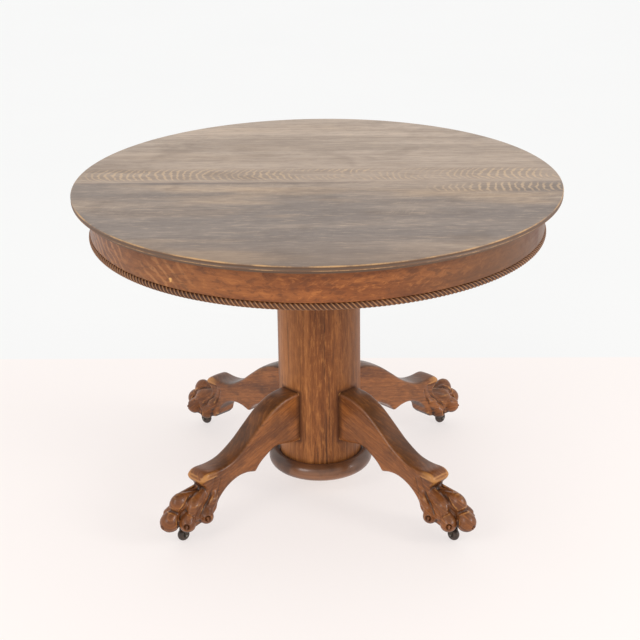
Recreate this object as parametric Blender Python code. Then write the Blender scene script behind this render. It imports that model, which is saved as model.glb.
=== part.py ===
# Round oak pedestal table that extends: two half tops slide apart on wooden rails
# above a hollow round column with four scroll legs, lion-paw feet and small casters.
# Metres, +Z up, origin on the floor under the middle of the column, seam along X.

from math import cos, pi, radians, sin, tau

import bmesh
import bpy
from mathutils import Matrix, Vector

FIT_GAP = 0.0003  # left between pieces that touch
MERGE = 0.000001

# Top, seen from its rim
TABLE_HEIGHT = 0.7747
TOP_RADIUS = 0.5715
TOP_THICKNESS = 0.019
TOP_UNDERSIDE = TABLE_HEIGHT - TOP_THICKNESS
ROUND_STEPS = 72

# Apron under the top, and the rope moulding along its lower edge
APRON_OUTER = 0.5318
APRON_INNER = 0.5118
APRON_BOTTOM = 0.6788
ROPE_OUTER = 0.5368
ROPE_INNER = 0.5188
ROPE_BOTTOM = 0.6625

# Glue block in the corner between apron and top, one in the middle of each half
BLOCK_INNER = 0.478
BLOCK_OUTER = 0.5100
BLOCK_HALF_WIDTH = 0.030
BLOCK_BOTTOM = 0.7057

# Pins that line up the two halves at the seam
PIN_RADIUS = 0.00475
PIN_REACH = 0.015
PIN_PLACES = {"outer_left": -0.40, "inner_left": -0.12, "inner_right": 0.12, "outer_right": 0.40}

# Three wooden rails side by side on each side of the column
RAIL_X = 0.215  # middle of the fixed rail
RAIL_WIDTH = 0.026
RAIL_GAP = 0.001
RAIL_HALF_LENGTH = 0.430
RAIL_TOP = TOP_UNDERSIDE - FIT_GAP
RAIL_BOTTOM = 0.6972
FIXED_RAIL_TOP = TOP_UNDERSIDE - 0.0015
TONGUE_REACH = 0.008
TONGUE_ROOT = 0.006  # half height where the tongue leaves the rail
TONGUE_TIP = 0.009
TONGUE_PLAY = 0.0006
RAIL_SCREW_Y = 0.300
RAIL_SCREW_SEAT = 0.7197  # the head sits deep in the rail
SCREW_HEAD = 0.0045
SCREW_SHANK = 0.0024

# Battens that carry the fixed rails, and the plates at both ends of the column
BEARER_TOP = 0.6957
BEARER_THICKNESS = 0.028
BEARER_WIDTH = 0.070
BEARER_Y = 0.082
BEARER_HALF_LENGTH = 0.275
PLATE_THICKNESS = 0.022
PLATE_SIDE = 0.240
FOOT_PLATE_THICKNESS = 0.012

# Column and the round moulding at its foot
COLUMN_RADIUS = 0.100
COLUMN_WALL = 0.024
COLUMN_STEPS = 48
RING_MIDDLE = 0.1065
RING_ROUND = 0.0215  # radius of the moulding's round
RING_HEIGHT = 0.069
RING_STEPS = 6
FOOT_BOTTOM = RING_HEIGHT - RING_ROUND

# Legs
LEG_TURNS = {"rear_right": 45, "rear_left": 135, "front_left": 225, "front_right": 315}
LEG_THICKNESS = 0.060
LEG_EDGE = 0.005
PAW_UNDERSIDE = 0.033
SOLE_BREAK = 0.448  # from here in to the heel the sole rises
SOLE_SLOPE = 0.21
BOLT_HEIGHTS = {"lower": 0.172, "upper": 0.238}
BOLT_RADIUS = 0.004
BOLT_HEAD_INNER = 0.0690
BOLT_HEAD_OUTER = 0.0748
BOLT_END = 0.150

# Casters
STEM_REACH = 0.4355  # from the column's axis to the caster's stem
WHEEL_TRAIL = 0.010
WHEEL_RADIUS = 0.0155
WHEEL_WIDTH = 0.016
AXLE_RADIUS = 0.0025
STEM_RADIUS = 0.0045
POCKET_RADIUS = 0.0185
POCKET_TOP = 0.0395
SOCKET_TOP = 0.078
SOCKET_RADIUS = 0.0065
FLANGE_RADIUS = 0.0145
FLANGE_THICKNESS = 0.002
CHEEK_THICKNESS = 0.002

COLUMN_INNER = COLUMN_RADIUS - COLUMN_WALL
PLATE_TOP = BEARER_TOP - BEARER_THICKNESS - FIT_GAP
COLUMN_TOP = PLATE_TOP - PLATE_THICKNESS - FIT_GAP
COLUMN_BOTTOM = FOOT_BOTTOM + FOOT_PLATE_THICKNESS + FIT_GAP
RAIL_PITCH = RAIL_WIDTH + RAIL_GAP


def clear_scene():
    for thing in list(bpy.data.objects):
        bpy.data.objects.remove(thing)


def finish(name, colour, roughness, metallic=0.0):
    made = bpy.data.materials.new(name)
    made.use_nodes = True
    shader = made.node_tree.nodes["Principled BSDF"]
    shader.inputs["Base Color"].default_value = (*colour, 1.0)
    shader.inputs["Roughness"].default_value = roughness
    shader.inputs["Metallic"].default_value = metallic
    return made


def mesh_from(shape):
    bmesh.ops.remove_doubles(shape, verts=shape.verts, dist=MERGE)
    bmesh.ops.recalc_face_normals(shape, faces=shape.faces)
    mesh = bpy.data.meshes.new("shape")
    shape.to_mesh(mesh)
    shape.free()
    return mesh


def place(name, mesh, material, parent=None, location=(0, 0, 0), turn=0.0):
    mesh.shade_smooth()
    mesh.set_sharp_from_angle(angle=radians(35))
    mesh.materials.clear()
    mesh.materials.append(material)
    piece = bpy.data.objects.new(name, mesh)
    bpy.context.scene.collection.objects.link(piece)
    piece.location = location
    piece.rotation_euler = (0, 0, turn)
    piece.parent = parent
    return piece


def guide(name, location=(0, 0, 0), turn=0.0):
    # An empty on a joint's axis, which the moving pieces hang from
    empty = bpy.data.objects.new(name, None)
    bpy.context.scene.collection.objects.link(empty)
    empty.location = location
    empty.rotation_euler = (0, 0, turn)
    empty.hide_render = True
    return empty


def turned(profile, steps=ROUND_STEPS, solid=False):
    # Turns (radius, height) points about Z; a solid profile starts and ends on the axis
    shape = bmesh.new()
    corners = [shape.verts.new((radius, 0, height)) for radius, height in profile]
    pairs = list(zip(corners, corners[1:]))
    if not solid:
        pairs.append((corners[-1], corners[0]))
    edges = [shape.edges.new(pair) for pair in pairs]
    bmesh.ops.spin(
        shape, geom=corners + edges, cent=(0, 0, 0), axis=(0, 0, 1), angle=tau, steps=steps, use_merge=True
    )
    return shape


def half_of(shape, side):
    # Keeps the half on that side of the seam: -1 front, 1 rear
    bmesh.ops.remove_doubles(shape, verts=shape.verts, dist=MERGE)
    geometry = shape.verts[:] + shape.edges[:] + shape.faces[:]
    bmesh.ops.bisect_plane(
        shape, geom=geometry, plane_co=(0, side * FIT_GAP / 2, 0), plane_no=(0, side, 0), clear_inner=True
    )
    rim = [edge for edge in shape.edges if edge.is_boundary]
    bmesh.ops.holes_fill(shape, edges=rim, sides=0)
    return shape


def box(low, high):
    shape = bmesh.new()
    middle = (Vector(low) + Vector(high)) / 2
    size = Vector(high) - Vector(low)
    bmesh.ops.create_cube(shape, size=1.0, matrix=Matrix.Translation(middle) @ Matrix.Diagonal((*size, 1.0)))
    return shape


def rod(radius, start, end, steps=16):
    shape = bmesh.new()
    run = Vector(end) - Vector(start)
    facing = run.to_track_quat("Z", "Y").to_matrix().to_4x4()
    bmesh.ops.create_cone(
        shape,
        cap_ends=True,
        segments=steps,
        radius1=radius,
        radius2=radius,
        depth=run.length,
        matrix=Matrix.Translation((Vector(start) + Vector(end)) / 2) @ facing,
    )
    return shape


def ball(centre, size, lean=0.0, turn=0.0, across=10, up=6):
    # An ellipsoid with these half sizes, leaned about Y and then turned about Z
    shape = bmesh.new()
    pose = Matrix.Translation(centre) @ Matrix.Rotation(turn, 4, "Z") @ Matrix.Rotation(lean, 4, "Y")
    bmesh.ops.create_uvsphere(
        shape, u_segments=across, v_segments=up, radius=1.0, matrix=pose @ Matrix.Diagonal((*size, 1.0))
    )
    return shape


def slab(outline, low, high):
    # An outline in X and Z, made solid along Y
    shape = bmesh.new()
    face = shape.faces.new([shape.verts.new((x, low, z)) for x, z in outline])
    grown = bmesh.ops.extrude_face_region(shape, geom=[face])["geom"]
    moved = [part for part in grown if isinstance(part, bmesh.types.BMVert)]
    bmesh.ops.translate(shape, verts=moved, vec=(0, high - low, 0))
    return shape


def flowing(points, steps=3):
    # A smooth curve through hand-set points, without its last point
    line = [Vector(point) for point in points]
    line = [2 * line[0] - line[1]] + line + [2 * line[-1] - line[-2]]
    curve = []
    for before, start, end, after in zip(line, line[1:], line[2:], line[3:]):
        for step in range(steps):
            t = step / steps
            pull = (end - before) * t + (2 * before - 5 * start + 4 * end - after) * t * t
            curve.append(start + (pull + (3 * start - before - 3 * end + after) * t**3) / 2)
    return [tuple(point) for point in curve]


def carve(shape, cuts=(), joins=()):
    # Joins shapes to a body, then cuts others away, with exact booleans
    scene = bpy.context.scene
    body = bpy.data.objects.new("body", mesh_from(shape))
    scene.collection.objects.link(body)
    helpers = []
    for operation, tools in (("UNION", joins), ("DIFFERENCE", cuts)):
        for tool in tools:
            helper = bpy.data.objects.new("tool", mesh_from(tool))
            scene.collection.objects.link(helper)
            helpers.append(helper)
            modifier = body.modifiers.new(operation, "BOOLEAN")
            modifier.operation = operation
            modifier.object = helper
    graph = bpy.context.evaluated_depsgraph_get()
    solid = bpy.data.meshes.new_from_object(body.evaluated_get(graph))
    for thing in helpers + [body]:
        bpy.data.objects.remove(thing)
    return solid


def half_top(side):
    # The rim has a soft upper edge, a shallow hollow, a thin bead and an undercut
    rim = [
        (TOP_RADIUS - 0.0028, TABLE_HEIGHT),
        (TOP_RADIUS - 0.0006, TABLE_HEIGHT - 0.0010),
        (TOP_RADIUS, TABLE_HEIGHT - 0.0032),
        (TOP_RADIUS - 0.0016, TABLE_HEIGHT - 0.0065),
        (TOP_RADIUS - 0.0004, TABLE_HEIGHT - 0.0100),
        (TOP_RADIUS - 0.0010, TABLE_HEIGHT - 0.0130),
        (TOP_RADIUS - 0.0065, TABLE_HEIGHT - 0.0150),
        (TOP_RADIUS - 0.0075, TOP_UNDERSIDE),
    ]
    shape = half_of(turned([(0, TABLE_HEIGHT)] + rim + [(0, TOP_UNDERSIDE)], solid=True), side)
    height = TABLE_HEIGHT - TOP_THICKNESS / 2
    play = FIT_GAP if side < 0 else 2 * FIT_GAP
    holes = [
        rod(PIN_RADIUS + play, (x, -side * 0.01, height), (x, side * (PIN_REACH + play), height))
        for x in PIN_PLACES.values()
    ]
    rail = RAIL_X - side * RAIL_PITCH
    for x in (-rail, rail):
        holes.append(turned_at(rail_screw_profile(FIT_GAP), x, side * RAIL_SCREW_Y))
    return carve(shape, cuts=holes)


def rail_screw_profile(play):
    # Flat-headed screw that holds a rail up against the top
    seat = RAIL_SCREW_SEAT
    return [
        (0, seat - 0.004 - play),
        (SCREW_HEAD + play, seat - 0.004 - play),
        (SCREW_HEAD + play, seat - 0.002),
        (SCREW_SHANK + play, seat + play),
        (SCREW_SHANK + play, TOP_UNDERSIDE + 0.011 + play),
        (0, TOP_UNDERSIDE + 0.012 + play),
    ]


def bearer_screw_profile(play):
    # Countersunk screw that holds a fixed rail down on a bearer
    low = BEARER_TOP - BEARER_THICKNESS
    return [
        (0, low + 0.0005 - play),
        (SCREW_HEAD + play, low + 0.0005 - play),
        (SCREW_HEAD + play, low + 0.0015),
        (SCREW_SHANK + play, low + 0.0045 + play),
        (SCREW_SHANK + play, BEARER_TOP + 0.023 + play),
        (0, BEARER_TOP + 0.024 + play),
    ]


def turned_at(profile, x, y, steps=12):
    shape = turned(profile, steps=steps, solid=True)
    bmesh.ops.translate(shape, verts=shape.verts, vec=(x, y, 0))
    return shape


def half_apron(side):
    profile = [
        (APRON_INNER, APRON_BOTTOM),
        (APRON_OUTER, APRON_BOTTOM),
        (APRON_OUTER, TOP_UNDERSIDE - FIT_GAP),
        (APRON_INNER, TOP_UNDERSIDE - FIT_GAP),
    ]
    return mesh_from(half_of(turned(profile), side))


def half_rope(side):
    # A half-round bead under the apron's edge
    top = APRON_BOTTOM - FIT_GAP
    middle = (top + ROPE_BOTTOM) / 2
    reach = (top - ROPE_BOTTOM) / 2
    bow = [(ROPE_OUTER - reach * (1 - cos(a)), middle + reach * sin(a)) for a in (-pi / 2, -pi / 6, pi / 6, pi / 2)]
    return mesh_from(half_of(turned([(ROPE_INNER, ROPE_BOTTOM)] + bow + [(ROPE_INNER, top)]), side))


def tongue(x, facing, play=0.0):
    # Dovetail-shaped tongue at mid height of the rail, on the side that facing names
    middle = (RAIL_TOP + RAIL_BOTTOM) / 2
    reach = TONGUE_REACH + play
    return [
        (x, middle - facing * (TONGUE_ROOT + play)),
        (x + facing * reach, middle - facing * (TONGUE_TIP + play)),
        (x + facing * reach, middle + facing * (TONGUE_TIP + play)),
        (x, middle + facing * (TONGUE_ROOT + play)),
    ]


def fixed_rail(side):
    # The middle rail of three, with a tongue on both sides, held on the bearers
    left = side * RAIL_X - RAIL_WIDTH / 2
    right = side * RAIL_X + RAIL_WIDTH / 2
    low = BEARER_TOP + FIT_GAP
    outline = [(left, low), (right, low)] + tongue(right, 1)
    outline += [(right, FIXED_RAIL_TOP), (left, FIXED_RAIL_TOP)] + tongue(left, -1)
    shape = slab(outline, -RAIL_HALF_LENGTH, RAIL_HALF_LENGTH)
    holes = [turned_at(bearer_screw_profile(FIT_GAP), side * RAIL_X, y) for y in (-BEARER_Y, BEARER_Y)]
    return carve(shape, cuts=holes)


def sliding_rail(side, half):
    # A rail screwed under one half top; half is -1 for the front, outboard of the fixed rail
    middle = side * (RAIL_X - half * RAIL_PITCH)
    outboard = -half * side  # which way the rail lies from the fixed rail
    inner = middle - outboard * RAIL_WIDTH / 2
    outer = middle + outboard * RAIL_WIDTH / 2
    groove = tongue(inner, outboard, TONGUE_PLAY)
    if outboard < 0:
        groove.reverse()
    outline = [(inner, RAIL_BOTTOM)] + groove + [(inner, RAIL_TOP), (outer, RAIL_TOP), (outer, RAIL_BOTTOM)]
    shape = slab(outline, -RAIL_HALF_LENGTH, RAIL_HALF_LENGTH)
    y = half * RAIL_SCREW_Y
    access = rod(SCREW_HEAD + 2 * FIT_GAP, (middle, y, RAIL_BOTTOM - 0.01), (middle, y, RAIL_SCREW_SEAT - 0.003), 12)
    return carve(shape, cuts=[access, turned_at(rail_screw_profile(FIT_GAP), middle, y)])


def bearer(side):
    y = side * BEARER_Y
    low = (-BEARER_HALF_LENGTH, y - BEARER_WIDTH / 2, BEARER_TOP - BEARER_THICKNESS)
    high = (BEARER_HALF_LENGTH, y + BEARER_WIDTH / 2, BEARER_TOP)
    holes = [turned_at(bearer_screw_profile(FIT_GAP), x, y) for x in (-RAIL_X, RAIL_X)]
    for x in (-RAIL_X, RAIL_X):
        holes.append(rod(SCREW_HEAD + 2 * FIT_GAP, (x, y, low[2] - 0.01), (x, y, low[2] + 0.001), 12))
    return carve(box(low, high), cuts=holes)


def leg_holes(turn=0.0):
    # Clearance for the bolts that hold one leg, run out through the column's wall
    holes = []
    facing = Vector((cos(turn), sin(turn), 0))
    for height in BOLT_HEIGHTS.values():
        lift = Vector((0, 0, height))
        holes.append(rod(BOLT_RADIUS + FIT_GAP, facing * 0.05 + lift, facing * (BOLT_END + FIT_GAP) + lift, 12))
    return holes


def column():
    profile = [
        (COLUMN_INNER, COLUMN_BOTTOM),
        (COLUMN_RADIUS, COLUMN_BOTTOM),
        (COLUMN_RADIUS, COLUMN_TOP),
        (COLUMN_INNER, COLUMN_TOP),
    ]
    holes = []
    for degrees in LEG_TURNS.values():
        holes += leg_holes(radians(degrees))
    return carve(turned(profile, COLUMN_STEPS), cuts=holes)


def base_ring():
    # Torus-shaped moulding that hides the joint between column and foot plate
    bow = []
    for step in range(RING_STEPS + 1):
        angle = -pi / 2 + pi * step / RING_STEPS
        bow.append((RING_MIDDLE + RING_ROUND * cos(angle), RING_HEIGHT + RING_ROUND * sin(angle)))
    inner = COLUMN_RADIUS + FIT_GAP
    return mesh_from(turned([(inner, FOOT_BOTTOM)] + bow + [(inner, RING_HEIGHT + RING_ROUND)], COLUMN_STEPS))


def foot_plate():
    profile = [(0, FOOT_BOTTOM), (COLUMN_RADIUS, FOOT_BOTTOM)]
    profile += [(COLUMN_RADIUS, COLUMN_BOTTOM - FIT_GAP), (0, COLUMN_BOTTOM - FIT_GAP)]
    return mesh_from(turned(profile, COLUMN_STEPS, solid=True))


def top_plate():
    half = PLATE_SIDE / 2
    shape = box((-half, -half, COLUMN_TOP + FIT_GAP), (half, half, PLATE_TOP))
    bmesh.ops.bevel(shape, geom=shape.edges[:], offset=0.002, affect="EDGES", profile=0.5, material=-1)
    return mesh_from(shape)


def leg_outline():
    # Distance from the column's axis, and height: the back sweeps down to a scrolled knee
    # and the paw, and the underside returns over a pointed spur to the column
    back = flowing(
        [(0.085, 0.273), (0.120, 0.272), (0.150, 0.267), (0.190, 0.249), (0.228, 0.221), (0.268, 0.190), (0.312, 0.166)]
    )
    knee = flowing([(0.312, 0.166), (0.350, 0.159), (0.386, 0.160), (0.402, 0.152), (0.405, 0.141), (0.394, 0.128)], 2)
    ankle = flowing([(0.394, 0.128), (0.390, 0.118), (0.400, 0.106), (0.424, 0.102), (0.446, 0.090), (0.460, 0.060)], 2)
    sole = [(0.460, PAW_UNDERSIDE), (SOLE_BREAK, PAW_UNDERSIDE), (0.374, 0.048)]
    arch = flowing([(0.363, 0.060), (0.356, 0.083), (0.330, 0.106), (0.298, 0.119), (0.268, 0.120), (0.240, 0.113)])
    shoulder = flowing([(0.240, 0.113), (0.224, 0.130), (0.204, 0.143), (0.172, 0.157), (0.120, 0.148), (0.085, 0.145)])
    return back + knee + ankle + sole + arch + shoulder + [(0.085, 0.145)]


def paw_lobes():
    # The pad of the paw, its middle toe with the knuckle above, and two toes on each side
    lobes = [
        ball((0.421, 0, 0.065), (0.052, 0.040, 0.036)),
        ball((0.447, 0, 0.099), (0.024, 0.018, 0.021)),
        ball((0.477, 0, 0.065), (0.030, 0.019, 0.031)),
    ]
    for side in (-1, 1):
        lobes.append(ball((0.443, side * 0.029, 0.065), (0.034, 0.017, 0.031), turn=side * radians(20)))
        lobes.append(ball((0.399, side * 0.032, 0.062), (0.030, 0.016, 0.026), turn=side * radians(20)))
    return lobes


def leg():
    # Built pointing along +X, and turned into its place
    body = slab(leg_outline(), -LEG_THICKNESS / 2, LEG_THICKNESS / 2)
    rims = [edge for edge in body.edges if abs(edge.verts[0].co.y - edge.verts[1].co.y) < MERGE]
    bmesh.ops.bevel(body, geom=rims, offset=LEG_EDGE, affect="EDGES", segments=1, profile=0.5, material=-1)
    column_space = rod(COLUMN_RADIUS + FIT_GAP, (0, 0, 0), (0, 0, 0.4), COLUMN_STEPS)
    heel_rise = (SOLE_BREAK - 0.3) * SOLE_SLOPE
    ground = [(0.3, -0.1), (0.6, -0.1), (0.6, PAW_UNDERSIDE), (SOLE_BREAK, PAW_UNDERSIDE)]
    below = slab(ground + [(0.3, PAW_UNDERSIDE + heel_rise)], -0.1, 0.1)
    pocket = rod(POCKET_RADIUS, (STEM_REACH, 0, 0), (STEM_REACH, 0, POCKET_TOP), 24)
    bore = rod(SOCKET_RADIUS + FIT_GAP, (STEM_REACH, 0, 0.03), (STEM_REACH, 0, SOCKET_TOP + FIT_GAP), 12)
    return carve(body, cuts=[column_space, below, pocket, bore] + leg_holes(), joins=paw_lobes())


def leg_bolt():
    # Hexagon-headed bolt, run from inside the column into the leg, along +X
    head = rod(0.0065, (BOLT_HEAD_INNER, 0, 0), (BOLT_HEAD_OUTER, 0, 0), 6)
    return carve(head, joins=[rod(BOLT_RADIUS, (BOLT_HEAD_OUTER - 0.001, 0, 0), (BOLT_END, 0, 0), 12)])


def caster_socket():
    # Flanged sleeve let into the paw
    bore = STEM_RADIUS + FIT_GAP
    flange_top = POCKET_TOP - FIT_GAP
    profile = [
        (bore, flange_top - FLANGE_THICKNESS),
        (FLANGE_RADIUS, flange_top - FLANGE_THICKNESS),
        (FLANGE_RADIUS, flange_top),
        (SOCKET_RADIUS, flange_top),
        (SOCKET_RADIUS, SOCKET_TOP),
        (bore, SOCKET_TOP),
    ]
    return mesh_from(turned(profile, 16))


def caster_horn():
    # Stem, round plate and two cheeks that hold the axle; the stem is on local Z
    plate_top = POCKET_TOP - FLANGE_THICKNESS - 3 * FIT_GAP
    plate_low = plate_top - 0.0026
    stem_top = SOCKET_TOP - 0.0035
    stem = turned(
        [
            (0, plate_low),
            (FLANGE_RADIUS, plate_low),
            (FLANGE_RADIUS, plate_top),
            (STEM_RADIUS, plate_top),
            (STEM_RADIUS, stem_top),
            (0, stem_top),
        ],
        16,
        solid=True,
    )
    tip = []
    for step in range(5):
        angle = pi * step / 4
        tip.append((WHEEL_TRAIL + 0.0055 * cos(angle), WHEEL_RADIUS - 0.0055 * sin(angle)))
    outline = tip + [(-0.006, plate_low + 0.001), (0.0125, plate_low + 0.001)]
    near = WHEEL_WIDTH / 2 + 0.0006
    cheeks = [slab(outline, near, near + CHEEK_THICKNESS), slab(outline, -near - CHEEK_THICKNESS, -near)]
    hole = rod(AXLE_RADIUS + FIT_GAP, (WHEEL_TRAIL, -0.03, WHEEL_RADIUS), (WHEEL_TRAIL, 0.03, WHEEL_RADIUS), 12)
    return carve(stem, cuts=[hole], joins=cheeks)


def caster_wheel():
    # Barrel-shaped tread about local Y
    half = WHEEL_WIDTH / 2
    bore = AXLE_RADIUS + FIT_GAP
    profile = [
        (bore, -half),
        (WHEEL_RADIUS - 0.0025, -half),
        (WHEEL_RADIUS, -half + 0.004),
        (WHEEL_RADIUS, half - 0.004),
        (WHEEL_RADIUS - 0.0025, half),
        (bore, half),
    ]
    shape = turned(profile, 18)
    bmesh.ops.rotate(shape, verts=shape.verts, cent=(0, 0, 0), matrix=Matrix.Rotation(pi / 2, 3, "X"))
    return mesh_from(shape)


def caster_axle():
    reach = WHEEL_WIDTH / 2 + 0.0006 + CHEEK_THICKNESS + 0.0012
    return mesh_from(rod(AXLE_RADIUS, (0, -reach, 0), (0, reach, 0), 12))


def build_halves(oak, dark_oak, rail_wood, steel):
    for name, side in (("front", -1), ("rear", 1)):
        frame = guide(name + "_half_frame")
        place("top_" + name, half_top(side), oak, frame)
        place("apron_" + name, half_apron(side), oak, frame)
        place("rope_moulding_" + name, half_rope(side), dark_oak, frame)
        block_near, block_far = sorted((side * BLOCK_INNER, side * BLOCK_OUTER))
        block = box((-BLOCK_HALF_WIDTH, block_near, BLOCK_BOTTOM), (BLOCK_HALF_WIDTH, block_far, RAIL_TOP))
        place("glue_block_" + name, mesh_from(block), rail_wood, frame)
        for hand, x_side in (("left", -1), ("right", 1)):
            place("slide_" + name + "_" + hand, sliding_rail(x_side, side), rail_wood, frame)
            x = x_side * (RAIL_X - side * RAIL_PITCH)
            screw = mesh_from(turned_at(rail_screw_profile(0), 0, 0))
            place("rail_screw_" + name + "_" + hand, screw, steel, frame, (x, side * RAIL_SCREW_Y, 0))
        if side < 0:
            height = TABLE_HEIGHT - TOP_THICKNESS / 2
            pin = mesh_from(rod(PIN_RADIUS, (0, -PIN_REACH, 0), (0, PIN_REACH, 0)))
            for spot, x in PIN_PLACES.items():
                place("leaf_pin_" + spot, pin, rail_wood, frame, (x, 0, height))


def build_pedestal(oak, dark_oak, rail_wood, steel):
    place("column", column(), oak)
    place("column_top_plate", top_plate(), rail_wood)
    place("column_foot_plate", foot_plate(), rail_wood)
    place("base_ring", base_ring(), dark_oak)
    for name, side in (("front", -1), ("rear", 1)):
        place("bearer_" + name, bearer(side), rail_wood)
    screw = mesh_from(turned_at(bearer_screw_profile(0), 0, 0))
    for hand, x_side in (("left", -1), ("right", 1)):
        place("slide_fixed_" + hand, fixed_rail(x_side), rail_wood)
        for name, side in (("front", -1), ("rear", 1)):
            place("bearer_screw_" + name + "_" + hand, screw, steel, None, (x_side * RAIL_X, side * BEARER_Y, 0))


def build_legs(oak, steel, brass):
    shape = leg()
    bolt = leg_bolt()
    socket = caster_socket()
    for corner, degrees in LEG_TURNS.items():
        turn = radians(degrees)
        place("leg_" + corner, shape, oak, turn=turn)
        for level, height in BOLT_HEIGHTS.items():
            place("leg_bolt_" + corner + "_" + level, bolt, steel, None, (0, 0, height), turn)
        stem = (STEM_REACH * cos(turn), STEM_REACH * sin(turn), 0)
        place("caster_socket_" + corner, socket, brass, None, stem, turn)


def build_casters(iron, steel, wheel_wood):
    horn = caster_horn()
    wheel = caster_wheel()
    axle = caster_axle()
    for corner, degrees in LEG_TURNS.items():
        turn = radians(degrees)
        swivel = guide("caster_swivel_" + corner, (STEM_REACH * cos(turn), STEM_REACH * sin(turn), 0), turn)
        place("caster_horn_" + corner, horn, iron, swivel)
        place("caster_axle_" + corner, axle, steel, swivel, (WHEEL_TRAIL, 0, WHEEL_RADIUS))
        place("caster_wheel_" + corner, wheel, wheel_wood, swivel, (WHEEL_TRAIL, 0, WHEEL_RADIUS))


def build_table():
    oak = finish("oak", (0.33, 0.17, 0.075), 0.45)
    dark_oak = finish("dark_oak", (0.13, 0.07, 0.035), 0.40)
    rail_wood = finish("plain_wood", (0.45, 0.31, 0.18), 0.65)
    steel = finish("screw_steel", (0.42, 0.41, 0.40), 0.45, 1.0)
    brass = finish("old_brass", (0.38, 0.28, 0.13), 0.50, 1.0)
    iron = finish("caster_iron", (0.06, 0.055, 0.05), 0.55, 1.0)
    wheel_wood = finish("wheel_wood", (0.05, 0.032, 0.022), 0.55)
    build_halves(oak, dark_oak, rail_wood, steel)
    build_pedestal(oak, dark_oak, rail_wood, steel)
    build_legs(oak, steel, brass)
    build_casters(iron, steel, wheel_wood)


clear_scene()
build_table()
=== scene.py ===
from math import atan2, cos, exp, pi, radians, sin, sqrt, tau

import bmesh
import bpy
from mathutils import Matrix, Vector


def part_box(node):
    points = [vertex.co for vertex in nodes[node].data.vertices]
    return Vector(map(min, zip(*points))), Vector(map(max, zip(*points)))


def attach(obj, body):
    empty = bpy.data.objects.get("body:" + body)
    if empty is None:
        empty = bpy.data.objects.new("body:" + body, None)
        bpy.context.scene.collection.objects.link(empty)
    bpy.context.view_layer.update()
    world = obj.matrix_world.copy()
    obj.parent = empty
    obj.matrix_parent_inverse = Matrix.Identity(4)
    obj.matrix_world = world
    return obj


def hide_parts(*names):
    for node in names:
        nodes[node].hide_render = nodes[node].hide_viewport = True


# Round extending oak table: two half tops with an apron and a rope moulding, on a
# round column with four scroll legs. Metres, +Z up, seam along X, front towards -Y.

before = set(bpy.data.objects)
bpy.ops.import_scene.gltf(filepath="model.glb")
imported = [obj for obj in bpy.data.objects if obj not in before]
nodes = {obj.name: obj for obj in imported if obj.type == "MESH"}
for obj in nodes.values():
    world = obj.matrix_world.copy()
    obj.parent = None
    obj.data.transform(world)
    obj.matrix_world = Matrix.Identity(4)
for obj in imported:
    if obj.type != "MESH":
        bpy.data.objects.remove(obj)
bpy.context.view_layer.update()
corners = {"rear_right": 45, "rear_left": 135, "front_left": 225, "front_right": 315}
halves = {"front": -1, "rear": 1}


# small helpers for meshes

def newMesh(name, shape, smoothAngle=40):
    # closes seams, points the faces outwards and makes the object
    bmesh.ops.remove_doubles(shape, verts=shape.verts, dist=0.00001)
    bmesh.ops.recalc_face_normals(shape, faces=shape.faces)
    mesh = bpy.data.meshes.new(name)
    shape.to_mesh(mesh)
    shape.free()
    mesh.shade_smooth()
    mesh.set_sharp_from_angle(angle=radians(smoothAngle))
    return newObject(name, mesh)


def newObject(name, mesh):
    piece = bpy.data.objects.new(name, mesh)
    bpy.context.scene.collection.objects.link(piece)
    return piece


def paintOn(mesh, **masks):
    # one value a vertex, read by the materials
    for name, values in masks.items():
        mesh.attributes.new(name, "FLOAT", "POINT").data.foreach_set("value", values)


def clampUnit(value):
    return min(1.0, max(0.0, value))


def soften(shape, factor, rounds=1):
    for turn in range(rounds):
        bmesh.ops.smooth_vert(
            shape, verts=shape.verts, factor=factor, use_axis_x=True, use_axis_y=True, use_axis_z=True
        )


def paintNodes(prefixes, material):
    # the CAD shapes that stay visible only take a material
    for name, node in nodes.items():
        if name.startswith(prefixes):
            node.data.materials.clear()
            node.data.materials.append(material)


def standIn(piece, node, body, material):
    piece.data.materials.clear()
    piece.data.materials.append(material)
    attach(piece, body)
    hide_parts(node)


def turnProfile(profile, steps, closed=True):
    # (radius, height) points turned about the vertical axis
    shape = bmesh.new()
    dots = [shape.verts.new((radius, 0, height)) for radius, height in profile]
    edges = [shape.edges.new(pair) for pair in zip(dots, dots[1:])]
    if closed:
        edges.append(shape.edges.new((dots[-1], dots[0])))
    bmesh.ops.spin(
        shape, geom=dots + edges, cent=(0, 0, 0), axis=(0, 0, 1), angle=tau, steps=steps, use_merge=True
    )
    return shape


def keepHalf(shape, side, gap=0.0003):
    # cuts the shape along the seam and closes the cut
    bmesh.ops.remove_doubles(shape, verts=shape.verts, dist=0.00001)
    everything = shape.verts[:] + shape.edges[:] + shape.faces[:]
    bmesh.ops.bisect_plane(
        shape, geom=everything, plane_co=(0, side * gap / 2, 0), plane_no=(0, side, 0), clear_inner=True
    )
    rim = [edge for edge in shape.edges if edge.is_boundary]
    bmesh.ops.holes_fill(shape, edges=rim, sides=0)
    return shape


def easeCurve(points, steps=6):
    # a smooth line through given points
    line = [Vector(point) for point in points]
    line = [2 * line[0] - line[1]] + line + [2 * line[-1] - line[-2]]
    curve = []
    for before, start, end, after in zip(line, line[1:], line[2:], line[3:]):
        for step in range(steps):
            t = step / steps
            pull = (end - before) * t + (2 * before - 5 * start + 4 * end - after) * t * t
            curve.append(start + (pull + (3 * start - before - 3 * end + after) * t**3) / 2)
    curve.append(line[-2])
    return curve


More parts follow.
